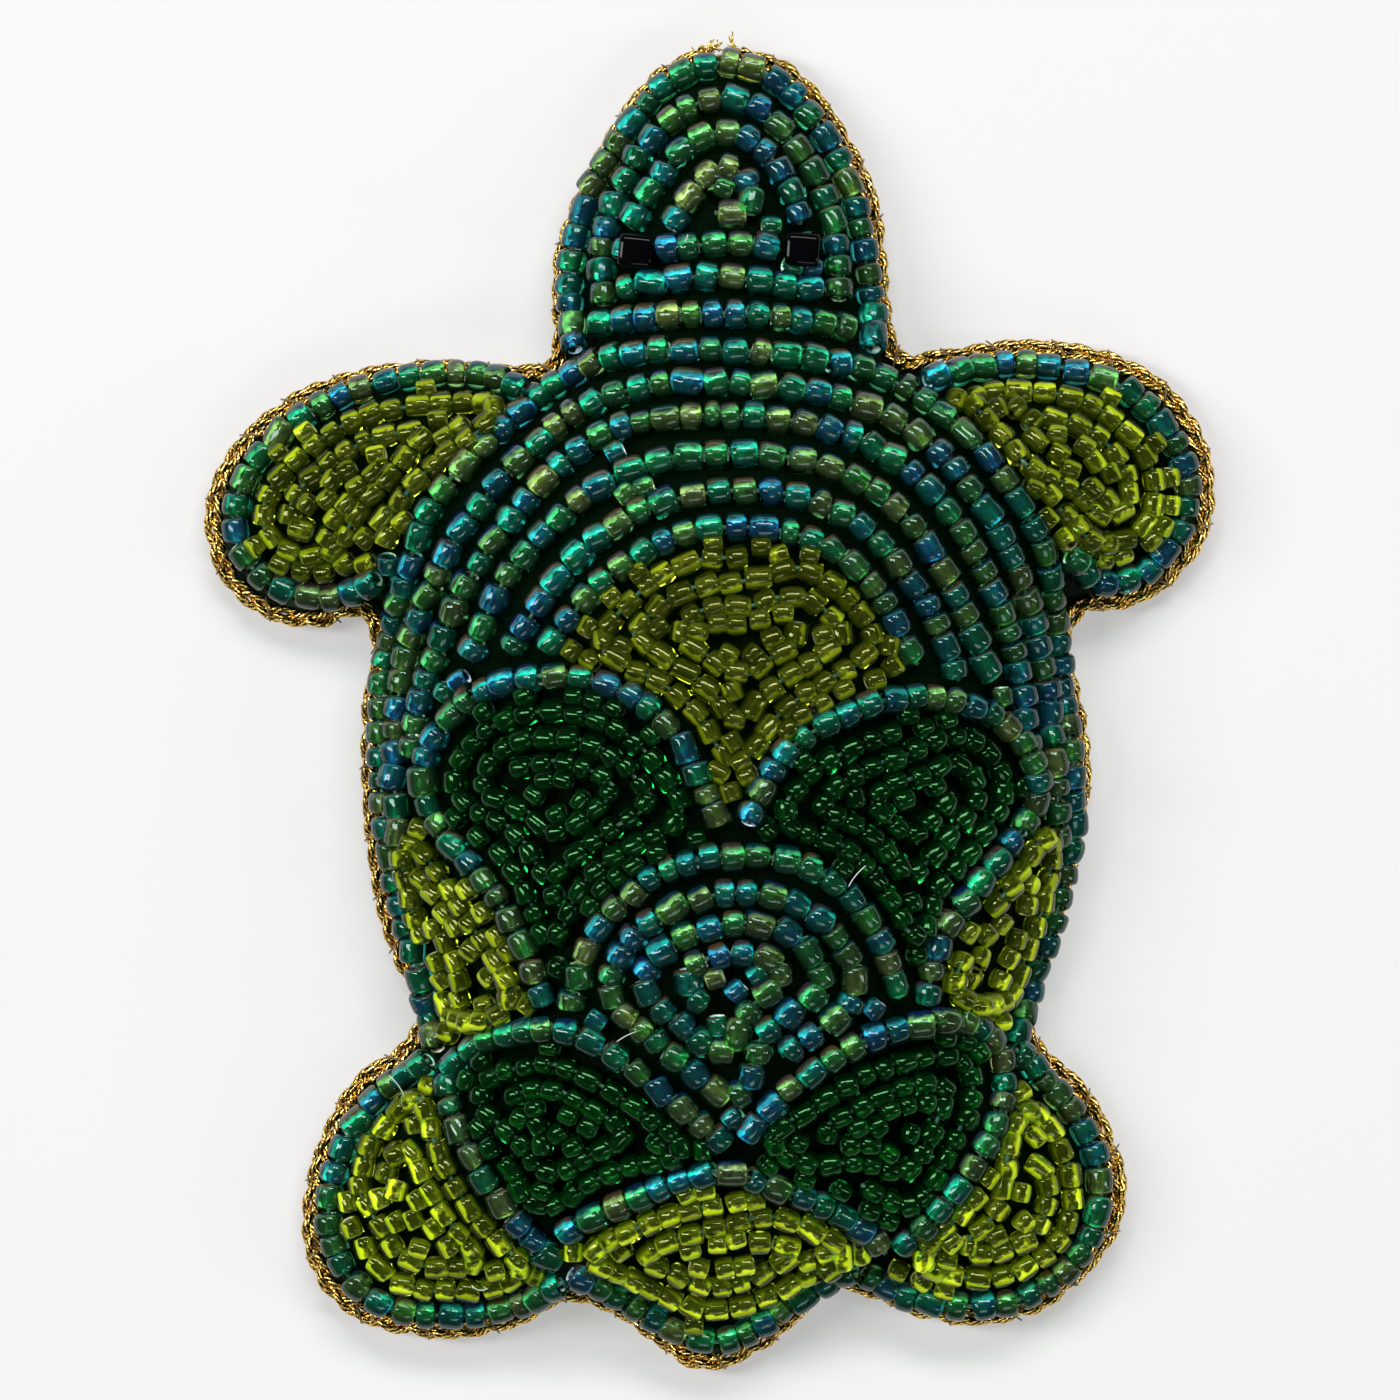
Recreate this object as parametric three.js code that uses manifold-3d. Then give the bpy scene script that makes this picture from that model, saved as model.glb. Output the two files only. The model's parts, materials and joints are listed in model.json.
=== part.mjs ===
// A bead-embroidered turtle: a stuffed cloth pillow on a felt back, covered with couched rows of glass
// seed beads, with a twisted metallic braid sewn round its seam. Millimetres, +Z up, head towards +Y.
// Each couched string of beads is one round-sided tube, because its beads are threaded on one thread.
import * as THREE from "three";
import { mergeVertices } from "three/addons/utils/BufferGeometryUtils.js";
import Module from "manifold-3d";

const wasm = await Module();
wasm.setup();

// Driving dimensions
const BEAD = 2.1; // outside diameter of a full-size seed bead
const SMALL_BEAD = 1.75; // outside diameter of a chartreuse or dark filling bead
const EYE = 2.7; // side of the square-cut eye beads
const EYE_HEIGHT = 2.3;
const BRAID = 1.9; // outside diameter of the metallic braid
const BACK = 1; // thickness of the felt back
const CLOTH = 0.8; // thickness of the embroidered cloth with its thread and backing
const AIR = 0.3; // air between neighbouring pieces
const NAP = 0.45; // thread and nap between a row of beads and the cloth
const SEAM_INSET = 2.4; // from the outer edge of the braid to the seam of the cloth
const BACK_INSET = 0.9; // the felt stops under the middle of the braid
const PUFF = 0.225; // height of the filled pillow, as a factor on the membrane's height to the power below
const PUFF_POWER = 0.6; // below 1, so the sides stand steep and the crown is broad
const CELL = 3.5; // grid of the cloth's facets
const FINE_CELL = 1; // grid on which the membrane is solved
const FILL_PITCH = 1.95; // between the turns of a filling string
const CENTRE_PITCH = 2.35; // the same in the centre scute, whose beads are full-size
const STEP = 3.2; // length of one straight stretch of a row
const COIL_STEP = 2.3; // the same in a filling string, whose turns are tighter
const BRAID_STEP = 4.2;
const SIDES = 6; // sides of a bead string's section
const BRAID_SIDES = 8;
const WAD_GAP = 0.5; // between the filling and the cloth, and between neighbouring wads
const TALL = 30; // height of a cutting block, more than the ornament's
const CLOTH_BASE = BACK + AIR;

// Outlines and routes

function smooth(points, closed = false, spacing = 1) {
  const through = points.map(([x, y]) => new THREE.Vector3(x, y, 0));
  const curve = new THREE.CatmullRomCurve3(through, closed, "centripetal");
  const count = Math.max(2, Math.round(curve.getLength() / spacing));
  const spaced = curve.getSpacedPoints(count).map((p) => new THREE.Vector2(p.x, p.y));
  if (closed) spaced.pop();
  return spaced;
}

function nearestOn(outline, p) {
  let nearest = outline[0];
  for (let i = 0; i < outline.length; i++) {
    const a = outline[i];
    const side = outline[(i + 1) % outline.length].clone().sub(a);
    const along = THREE.MathUtils.clamp(p.clone().sub(a).dot(side) / side.lengthSq(), 0, 1);
    const at = a.clone().addScaledVector(side, along);
    if (at.distanceToSquared(p) < nearest.distanceToSquared(p)) nearest = at;
  }
  return nearest;
}

const distanceTo = (outline, p) => nearestOn(outline, p).distanceTo(p);

function isInside(outline, p) {
  let inside = false;
  for (let i = 0; i < outline.length; i++) {
    const a = outline[i];
    const b = outline[(i + 1) % outline.length];
    const crosses = a.y > p.y !== b.y > p.y;
    if (crosses && p.x < a.x + ((b.x - a.x) * (p.y - a.y)) / (b.y - a.y)) inside = !inside;
  }
  return inside;
}

const CORNER = 0.15; // sine of the turn that makes a corner
const KEPT = 3; // one point in so many is kept between corners

function thinned(outline) {
  return outline.filter((p, i) => {
    const before = p.clone().sub(outline[(i + outline.length - 1) % outline.length]).normalize();
    const after = outline[(i + 1) % outline.length].clone().sub(p).normalize();
    return i % KEPT === 0 || Math.abs(before.cross(after)) > CORNER;
  });
}

const NEAREST = 0.97; // share of the depth that a moved point keeps from every side

// A clockwise outline moved inwards; points that the move brings too near another side are dropped.
function inset(outline, depth) {
  const moved = outline.map((p, i) => {
    const before = outline[(i + outline.length - 1) % outline.length];
    const after = outline[(i + 1) % outline.length];
    const along = after.clone().sub(before).normalize();
    return new THREE.Vector2(p.x + along.y * depth, p.y - along.x * depth);
  });
  return moved.filter((p) => isInside(outline, p) && distanceTo(outline, p) > NEAREST * depth);
}

// The outer edge of the braid, clockwise from the top of the head, with a corner at each notch.
const EDGE = [
  [1.5, 53], [6.5, 51.5], [10.5, 47], [13.5, 41], [14.5, 34.5], [15, 29.5], [16, 28.2],
  [20, 29], [25.5, 29.5], [32, 28.5], [36.5, 26], [39.5, 22], [40.5, 17.5], [39.5, 12.5], [35.5, 8.5], [31, 7],
  [28.8, 6.8], [29.2, 3.5], [30.3, -1], [30.6, -6.5], [29.8, -11.5], [28.2, -17.5], [27, -21.5], [25.4, -25.3],
  [29, -28.6], [32.6, -34.5], [33.4, -40.5], [30.5, -45.2], [26.5, -48.5], [21.5, -49.6], [16.5, -49],
  [12.8, -47.4], [10.8, -46.4], [8.3, -48.2], [5.8, -50.5], [2, -52.8], [-2.3, -53], [-5.2, -50.5], [-8.5, -48.4],
  [-10.6, -47.5], [-13.4, -49], [-18.4, -50.5], [-23, -50.6], [-28.5, -49], [-31.8, -45.6], [-32.8, -40.5],
  [-31.5, -34.8], [-29, -30], [-25.4, -27], [-23.2, -25.7], [-25, -21.5], [-26.5, -17.5], [-27.4, -13],
  [-27.9, -8.5], [-28.1, -4], [-27.8, 2], [-27, 6.8], [-31, 6], [-36.8, 7.5], [-40.2, 12], [-40.2, 17.5],
  [-37.6, 21.7], [-33, 25.4], [-26.7, 27.4], [-20.5, 27.9], [-15.4, 27.4], [-13.6, 26.9], [-12.8, 29.3],
  [-12.9, 34.5], [-11.3, 40.2], [-7.4, 47.5], [-4.4, 51], [-1.5, 52.8],
];
const edge = smooth(EDGE, true);
const seam = inset(edge, SEAM_INSET);

// The pillow's height over the seam plane: a membrane filled from below, solved on a grid by relaxation.

const SIZE = { x: 84, y: 112 };
const COLUMNS = SIZE.x / FINE_CELL;
const ROWS = SIZE.y / FINE_CELL;
const RELAXATION = 1.9;
const SWEEPS = 400;

function solveMembrane() {
  const height = new Float64Array((COLUMNS + 1) * (ROWS + 1));
  const inner = [];
  for (let j = 1; j < ROWS; j++) {
    for (let i = 1; i < COLUMNS; i++) {
      const at = new THREE.Vector2(i * FINE_CELL - SIZE.x / 2, j * FINE_CELL - SIZE.y / 2);
      if (isInside(seam, at)) inner.push(j * (COLUMNS + 1) + i);
    }
  }
  for (let sweep = 0; sweep < SWEEPS; sweep++) {
    for (const k of inner) {
      const around = height[k - 1] + height[k + 1] + height[k - COLUMNS - 1] + height[k + COLUMNS + 1];
      const settled = around / 4 + FINE_CELL ** 2;
      height[k] += RELAXATION * (settled - height[k]);
    }
  }
  return height;
}

const membrane = solveMembrane();

function bilinear(values, columns, cell, x, y) {
  const u = THREE.MathUtils.clamp((x + SIZE.x / 2) / cell, 0, SIZE.x / cell - 1e-6);
  const v = THREE.MathUtils.clamp((y + SIZE.y / 2) / cell, 0, SIZE.y / cell - 1e-6);
  const i = Math.floor(u);
  const j = Math.floor(v);
  const at = (a, b) => values[(j + b) * (columns + 1) + i + a];
  const low = THREE.MathUtils.lerp(at(0, 0), at(1, 0), u - i);
  const high = THREE.MathUtils.lerp(at(0, 1), at(1, 1), u - i);
  return THREE.MathUtils.lerp(low, high, v - j);
}

// The cloth is faceted, so everything that lies on it is placed on the facets and not on the true curve.
const facetColumns = SIZE.x / CELL;
const facetRows = SIZE.y / CELL;
const facets = [];
for (let j = 0; j <= facetRows; j++) {
  for (let i = 0; i <= facetColumns; i++) {
    const lift = bilinear(membrane, COLUMNS, FINE_CELL, i * CELL - SIZE.x / 2, j * CELL - SIZE.y / 2);
    facets.push(PUFF * lift ** PUFF_POWER);
  }
}
const puff = (x, y) => bilinear(facets, facetColumns, CELL, x, y);
const clothTop = (x, y) => CLOTH_BASE + CLOTH + puff(x, y);

// Solids

function solid(geometry) {
  const bare = geometry.clone();
  bare.deleteAttribute("normal");
  bare.deleteAttribute("uv");
  const merged = mergeVertices(bare, 1e-4);
  return new wasm.Manifold(
    new wasm.Mesh({
      numProp: 3,
      vertProperties: new Float32Array(merged.attributes.position.array),
      triVerts: new Uint32Array(merged.index.array),
    }),
  );
}

function geometryOf(body) {
  const { vertProperties, triVerts } = body.getMesh();
  const geometry = new THREE.BufferGeometry();
  geometry.setAttribute("position", new THREE.BufferAttribute(vertProperties, 3));
  geometry.setIndex(new THREE.BufferAttribute(triVerts, 1));
  geometry.computeVertexNormals();
  return geometry;
}

function plate(outline, bottom, thickness) {
  const geometry = new THREE.ExtrudeGeometry(new THREE.Shape(thinned(outline)), {
    depth: thickness,
    bevelEnabled: false,
    curveSegments: 1,
  });
  return geometry.translate(0, 0, bottom);
}

const THINNEST = 0.05; // of a domed block, where its top would meet its underside

// A block with a flat underside and a top that follows the cloth, lowered by a thickness.
function domedBlock(bottom, lowered) {
  const block = new THREE.BoxGeometry(SIZE.x, SIZE.y, 1, facetColumns, facetRows, 1);
  const position = block.attributes.position;
  for (let i = 0; i < position.count; i++) {
    const top = clothTop(position.getX(i), position.getY(i)) - lowered;
    position.setZ(i, position.getZ(i) > 0 ? Math.max(top, bottom + THINNEST) : bottom);
  }
  return solid(block);
}

const group = new THREE.Group();

function add(name, geometry, material) {
  const mesh = new THREE.Mesh(geometry, material);
  mesh.name = name;
  group.add(mesh);
}

const felt = new THREE.MeshStandardMaterial({ color: 0x14301f, roughness: 0.95, metalness: 0 });
const cloth = new THREE.MeshStandardMaterial({ color: 0x06200f, roughness: 0.9, metalness: 0 });
const wadding = new THREE.MeshStandardMaterial({ color: 0xe6e2d6, roughness: 1, metalness: 0 });
const gold = new THREE.MeshStandardMaterial({ color: 0xc9922f, roughness: 0.35, metalness: 1 });
const lustre = new THREE.MeshStandardMaterial({ color: 0x1c7868, roughness: 0.15, metalness: 0.2 });
const darkGlass = new THREE.MeshStandardMaterial({ color: 0x0f4a24, roughness: 0.15, metalness: 0 });
const limeGlass = new THREE.MeshStandardMaterial({ color: 0x9aa51c, roughness: 0.15, metalness: 0 });
const jet = new THREE.MeshStandardMaterial({ color: 0x060608, roughness: 0.15, metalness: 0 });

// Back, cloth and filling

add("back_panel", plate(inset(edge, BACK_INSET), 0, BACK), felt);

function frontPanel() {
  const below = CLOTH_BASE - BACK;
  const outer = domedBlock(CLOTH_BASE, 0).intersect(solid(plate(seam, below, TALL)));
  const cavity = domedBlock(below, CLOTH).intersect(solid(plate(inset(seam, CLOTH), below, TALL)));
  return geometryOf(outer.subtract(cavity));
}
add("front_panel", frontPanel(), cloth);

// The filling goes in as separate wads: the lobes first, then the body.
const BODY = { x: 1, y: -8, halfWidth: 27, halfLength: 36 };
const BODY_SIDES = 60;

function bodyPlan(margin) {
  const ellipse = new THREE.EllipseCurve(BODY.x, BODY.y, BODY.halfWidth + margin, BODY.halfLength + margin);
  return ellipse.getPoints(BODY_SIDES).slice(1);
}

function lobeColumn(left, bottom, right, top) {
  const column = new THREE.BoxGeometry(right - left, top - bottom, 2 * TALL);
  return solid(column.translate((left + right) / 2, (bottom + top) / 2, 0));
}

const room = inset(seam, CLOTH + WAD_GAP);
const hollow = domedBlock(CLOTH_BASE, CLOTH + WAD_GAP).intersect(solid(plate(room, CLOTH_BASE, TALL)));
const bodyColumn = solid(plate(bodyPlan(0), 0, TALL));
const widerColumn = solid(plate(bodyPlan(WAD_GAP), 0, TALL));
add("body_wad", geometryOf(hollow.intersect(bodyColumn)), wadding);

const LOBES = {
  head_wad: [-14, 28.7, 16, 54],
  upper_left_limb_wad: [-42, 7.5, -14.5, 30],
  upper_right_limb_wad: [17, 7.5, 42, 31],
  lower_left_limb_wad: [-34, -52, -13, -26.5],
  lower_right_limb_wad: [15, -52, 35, -26.5],
  tail_wad: [-12.3, -55, 14.3, -44.5],
};
for (const [name, limits] of Object.entries(LOBES)) {
  add(name, geometryOf(hollow.intersect(lobeColumn(...limits)).subtract(widerColumn)), wadding);
}

// Rows: each lies on the cloth, and on the rows and the braid placed before it where they are close.

const placed = []; // points along the rows already placed, with their radius
const SHARES = [0, 0.35, 0.65, 0.9]; // of a bead's radius, where the cloth under it is felt for
const BEARINGS = 12; // round each of those circles

function restingHeight(x, y, radius) {
  const reach = radius + NAP;
  let z = 0;
  for (const share of SHARES) {
    for (let k = 0; k < BEARINGS; k++) {
      const angle = (2 * Math.PI * k) / BEARINGS;
      const px = x + share * reach * Math.cos(angle);
      const py = y + share * reach * Math.sin(angle);
      if (isInside(seam, new THREE.Vector2(px, py))) {
        z = Math.max(z, clothTop(px, py) + reach * Math.sqrt(1 - share ** 2));
      }
    }
  }
  for (const other of placed) {
    const clear = radius + other.radius + AIR;
    const apart = Math.hypot(x - other.x, y - other.y);
    if (apart < clear) z = Math.max(z, other.z + Math.sqrt(clear ** 2 - apart ** 2));
  }
  return z;
}

function section(radius, sides) {
  const corners = [];
  for (let k = 0; k < sides; k++) {
    const angle = (2 * Math.PI * k) / sides;
    corners.push(new THREE.Vector2(radius * Math.cos(angle), radius * Math.sin(angle)));
  }
  return new THREE.Shape(corners);
}

function tube(points, radius, sides, step) {
  const path = new THREE.CatmullRomCurve3(points, false, "centripetal");
  const steps = Math.max(2, Math.round(path.getLength() / step));
  return new THREE.ExtrudeGeometry(section(radius, sides), { steps, extrudePath: path, bevelEnabled: false });
}

function layRow(name, route, diameter, material, step = STEP) {
  const radius = diameter / 2;
  const heights = route.map((p) => restingHeight(p.x, p.y, radius));
  const points = route.map((p, i) => new THREE.Vector3(p.x, p.y, heights[i]));
  for (const p of points) placed.push({ x: p.x, y: p.y, z: p.z, radius });
  add(name, tube(points, radius, SIDES, step), material);
}

// Routes are given from the first bead's centre to the last one's, so a string is half a bead longer each way.
function wholeBeads(route) {
  const [first, second] = route;
  const [last, beforeLast] = route.toReversed();
  const head = first.clone().sub(second).setLength(BEAD / 2).add(first);
  const tail = last.clone().sub(beforeLast).setLength(BEAD / 2).add(last);
  return [head, ...route, tail];
}

const layNamedRow = (name, route) => layRow(name, wholeBeads(smooth(route)), BEAD, lustre);

// A filling string is couched round and round inside an outline, each turn one pitch inside the turn before.
// A turn starts on the side nearest to the deepest point, and steps in just before it closes.
const TURN_POINTS = 120;
const STEP_IN = 3.6; // length of a step from one turn to the next
const SEARCH_STEP = 0.5; // of the search for the deepest point
const FARTHEST = 60; // more than the reach of any turn
const HALVINGS = 16; // of the search along a ray

function deepest(loop) {
  let best = { depth: 0 };
  for (let x = -SIZE.x / 2; x < SIZE.x / 2; x += SEARCH_STEP) {
    for (let y = -SIZE.y / 2; y < SIZE.y / 2; y += SEARCH_STEP) {
      const at = new THREE.Vector2(x, y);
      const depth = isInside(loop, at) ? distanceTo(loop, at) : 0;
      if (depth > best.depth) best = { depth, at };
    }
  }
  return best;
}

function turnAt(loop, hub, depth, start) {
  const turn = [];
  for (let k = 0; k < TURN_POINTS; k++) {
    const angle = start + (2 * Math.PI * k) / TURN_POINTS;
    const ray = new THREE.Vector2(Math.cos(angle), Math.sin(angle));
    let near = 0;
    let far = FARTHEST;
    for (let halving = 0; halving < HALVINGS; halving++) {
      const reach = (near + far) / 2;
      const at = hub.clone().addScaledVector(ray, reach);
      if (isInside(loop, at) && distanceTo(loop, at) > depth) near = reach;
      else far = reach;
    }
    turn.push([hub.x + ray.x * near, hub.y + ray.y * near]);
  }
  return smooth(turn).slice(0, -Math.round(STEP_IN));
}

function coil(outline, pitch, diameter) {
  const loop = smooth(outline, true);
  const hub = deepest(loop);
  const start = nearestOn(loop, hub.at).sub(hub.at).angle();
  const route = [];
  for (let depth = 0; hub.depth - depth > (diameter + AIR) / 2; depth += pitch) {
    const turn = turnAt(loop, hub.at, depth, start);
    route.push(...turn.map((p) => [p.x, p.y]));
  }
  return smooth(route);
}

// The braid lies round the seam on the rim of the felt, with its two ends at the top of the head.

const braidLine = inset(edge, BRAID / 2);
const braidHeight = CLOTH_BASE + BRAID / 2;
const braidPoints = braidLine.map((p) => new THREE.Vector3(p.x, p.y, braidHeight));
for (const p of braidPoints) placed.push({ x: p.x, y: p.y, z: p.z, radius: BRAID / 2 });
add("gold_braid", tube(braidPoints.slice(1, -1), BRAID / 2, BRAID_SIDES, BRAID_STEP), gold);

// Collar rows, from the shell's edge inwards: left end, over the shoulders, right end

const COLLAR = [
  [
    [-22, -26], [-23.7, -19], [-25.4, -12], [-26.2, -4], [-26.1, 2], [-24.4, 9.2], [-21.6, 16.6], [-16.8, 21.6],
    [-11.8, 25.8], [-8, 27.6], [0.5, 28.1], [9, 27.4], [12.8, 26.5], [18.8, 23], [22.4, 19], [26.6, 12],
    [27.6, 4], [28.6, -3], [28.9, -9], [27.8, -15.5], [26.4, -20], [24.5, -26],
  ],
  [
    [-24.4, -12], [-25, -6], [-25, -1.8], [-23.6, 5.6], [-21.2, 11.2], [-17.8, 16.4], [-13.6, 20.8], [-9.3, 24],
    [-3, 25.5], [4, 25.3], [9.5, 24.6], [15.8, 22], [20.7, 17], [24.2, 11], [26.1, 4.4], [27.3, -4],
    [27.6, -10],
  ],
  [
    [-23.6, -3], [-23, 0.4], [-21.2, 5.2], [-18.4, 11], [-13.8, 17], [-9.4, 21], [-5, 22.5], [1, 22.9], [7, 22.4],
    [12, 21], [17.4, 17], [21.2, 11.4], [24, 4.6], [25, -1], [25.2, -3],
  ],
  [
    [-18.6, 4.6], [-16.4, 9.6], [-12.7, 14], [-8.3, 17.7], [-4, 19.4], [2, 19.9], [9, 19], [14.5, 15.9],
    [18.9, 9.8], [21.8, 3],
  ],
  [
    [-15.3, 5.2], [-11.3, 11], [-6.2, 15], [-0.5, 16.7], [4.5, 16.9], [10.2, 15.4], [14.9, 11], [17.6, 7],
    [19.2, 3],
  ],
  [[-12.3, 5.2], [-9.6, 8.7], [-6, 11.7], [-2, 13.6], [4, 14], [9.2, 12.6], [12.9, 9.4], [15.8, 4.2]],
];
COLLAR.forEach((route, i) => layNamedRow(`collar_row_${i + 1}`, route));

// Scute outlines

const SCUTES = {
  upper_left_scute_outline: [
    [0.4, -8.6], [-1.4, -4.4], [-4, -0.8], [-8, 1.7], [-12.9, 2.4], [-17.6, 1.3], [-21.6, -2], [-22.9, -6],
    [-21.6, -9.3], [-17.5, -14.3], [-15, -18.1], [-13.4, -22.6],
  ],
  upper_right_scute_outline: [
    [3.3, -8.2], [5.2, -4.4], [8.4, -1.8], [12.7, 0.2], [16.8, 0.8], [20.6, 0], [24, -2], [25.8, -5],
    [25.7, -8], [23.6, -11], [20.3, -15.2], [18.1, -18.4], [17.2, -22.7],
  ],
  centre_scute_outline: [
    [-10.8, -22.8], [-9.8, -19.2], [-7.4, -15.8], [-4, -13.2], [0.2, -11.8], [4.5, -11.8], [8.4, -13], [11.3, -15.3],
    [13.4, -18.4], [14.6, -22],
  ],
  lower_left_scute_outline: [
    [-13, -43.4], [-17.4, -38.2], [-19.6, -34], [-21, -29.8], [-19.5, -27.3], [-16.5, -26.1], [-12.4, -25.4],
    [-8.2, -27.1], [-4.5, -29.8], [0.6, -34],
  ],
  lower_right_scute_outline: [
    [3.4, -33.2], [5.6, -30.6], [9.3, -28], [12.6, -26.1], [16.5, -25.1], [20, -24.9], [22.6, -26.8], [23.4, -30.4],
    [21.8, -34.8], [19.3, -38.6], [15.6, -42.4],
  ],
  tail_arch: [
    [-10.9, -41.4], [-8.8, -40.1], [-5.6, -38.8], [-2.4, -37.4], [0.8, -36.6], [4.6, -37.7], [8.8, -39.4],
    [11.6, -41], [13.2, -42.6],
  ],
};
for (const [name, route] of Object.entries(SCUTES)) layNamedRow(name, route);

// Limb outlines and head rows

const LIMBS = {
  upper_left_limb_outline: [
    [-15.5, 25.4], [-17.4, 26.2], [-21.2, 26.4], [-25.2, 26], [-29, 24.9], [-33.1, 22.6], [-36, 19.8], [-37.8, 16],
    [-37.2, 12], [-34.1, 9.3], [-30.4, 8.6], [-27.6, 9.4],
  ],
  upper_right_limb_outline: [
    [18.2, 26.2], [20.8, 26.8], [24.2, 27.2], [28.6, 26.8], [33, 25.2], [36.2, 22.1], [38, 18], [37.1, 13.6],
    [34.2, 10.4], [31.2, 9.8], [29.4, 11.2],
  ],
  lower_left_limb_outline: [
    [-23.2, -28.6], [-25.8, -30.4], [-28.2, -33.2], [-30, -37.6], [-30.2, -41.5], [-28.6, -45.6], [-25.6, -47.8],
    [-22, -48.4], [-18, -48.3], [-14.8, -47.4], [-12.6, -46.2],
  ],
  lower_right_limb_outline: [
    [25, -28], [27.5, -30.8], [29.8, -33.6], [31, -37.4], [30.7, -41.2], [28.8, -44.4], [26.1, -46.6], [22.6, -47.6],
    [19, -47.6], [15.2, -46.8], [13, -45.6],
  ],
  tail_row: [
    [-10.2, -45.4], [-8, -46.5], [-5, -48.2], [-2.4, -50], [0, -50.7], [2.4, -50], [5.4, -48.1], [8.2, -46.4],
    [10.6, -45],
  ],
};
for (const [name, route] of Object.entries(LIMBS)) layNamedRow(name, route);

const HEAD = {
  head_row_1: [
    [-10.9, 29.6], [-11.2, 32.6], [-11, 36], [-9.6, 40.8], [-7.4, 44.6], [-4.8, 48.2], [-1.8, 50.6], [1.4, 51.2],
    [4.8, 50.2], [8, 47], [10.6, 42.6], [11.9, 38], [12.8, 32.6], [12.9, 29.6],
  ],
  head_row_2: [
    [-8.5, 32.8], [-8.7, 35.4], [-7.9, 39.4], [-6, 43.1], [-3.2, 46.4], [0.6, 48.4], [4, 47.6], [7, 44.2], [9.1, 40.4],
    [10.1, 36], [10.2, 33],
  ],
  head_row_3: [[-5.9, 39], [-3.9, 42.2], [-1.4, 44.8], [0.9, 45.8], [3.8, 44.5], [6.2, 41.4], [6.9, 39.2]],
  head_row_4: [[-2.6, 38.6], [-0.8, 41.5], [1.1, 43], [3.6, 41], [3.7, 39.4], [1.4, 39.1]],
  brow_row: [[-3.2, 36.2], [0.8, 36.6], [4.5, 36.3]],
  cheek_row_1: [[-6.2, 33.2], [-1.8, 33.9], [2.8, 33.8], [7.8, 33]],
  cheek_row_2: [[-8.2, 30.4], [-3, 30.9], [2, 31], [6.1, 30.7], [10.4, 30.1]],
};
for (const [name, route] of Object.entries(HEAD)) layNamedRow(name, route);

const eyeShape = new THREE.BoxGeometry(EYE, EYE, EYE_HEIGHT);
const EYE_TOUCHES = [[-1, -1], [-1, 1], [1, -1], [1, 1], [0, 0]]; // corners and centre of its underside
for (const [name, x, y] of [["eye_left", -5.9, 36], ["eye_right", 7.3, 36.1]]) {
  const heights = EYE_TOUCHES.map(([u, v]) => clothTop(x + (u * EYE) / 2, y + (v * EYE) / 2));
  const z = Math.max(...heights) + AIR + EYE_HEIGHT / 2;
  add(name, eyeShape.clone().translate(x, y, z), jet);
}

// Filling strings

const DARK_FILLS = {
  upper_left_scute_fill: [
    [-20.3, -6], [-18.6, -2.7], [-15, -0.7], [-11, -0.5], [-7.2, -1.8], [-4.2, -4.6], [-2.2, -8.8], [-6.2, -10.9],
    [-10, -13.9], [-12.4, -18.8], [-14.8, -13.9], [-17.8, -9.9],
  ],
  upper_right_scute_fill: [
    [5.4, -9], [8.2, -5.2], [12.2, -2.8], [16.4, -1.8], [20.4, -2.6], [23.1, -5.2], [23, -7.8], [20.6, -11.2],
    [18, -14.2], [16.3, -18.8], [13.8, -14.4], [10.2, -10.8],
  ],
  lower_left_scute_fill: [
    [-18.2, -30], [-16, -28.8], [-12.6, -28.1], [-9.4, -29.4], [-6.2, -31.4], [-1.8, -35], [-7, -36.4],
    [-10.8, -38.4], [-13.4, -40], [-16.2, -35.8],
  ],
  lower_right_scute_fill: [
    [4.6, -34.4], [9.2, -30.8], [13, -28.7], [17, -27.7], [20, -27.9], [20.8, -30.4], [19.2, -34.4], [15.8, -39.8],
    [12.8, -38.2], [9.2, -36.5],
  ],
};
for (const [name, outline] of Object.entries(DARK_FILLS)) {
  layRow(name, coil(outline, FILL_PITCH, SMALL_BEAD), SMALL_BEAD, darkGlass, COIL_STEP);
}

const CENTRE_FILL = [
  [-8, -22.8], [-6.8, -19], [-3.6, -16.2], [0.4, -14.8], [4, -14.7], [7.8, -16], [10.4, -18.8], [11.8, -22.4],
  [8.8, -25.2], [5.4, -27.7], [1.8, -31], [-1.8, -28.4], [-5, -25.7],
];
layRow("centre_scute_fill", coil(CENTRE_FILL, CENTRE_PITCH, BEAD), BEAD, lustre, COIL_STEP);

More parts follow.
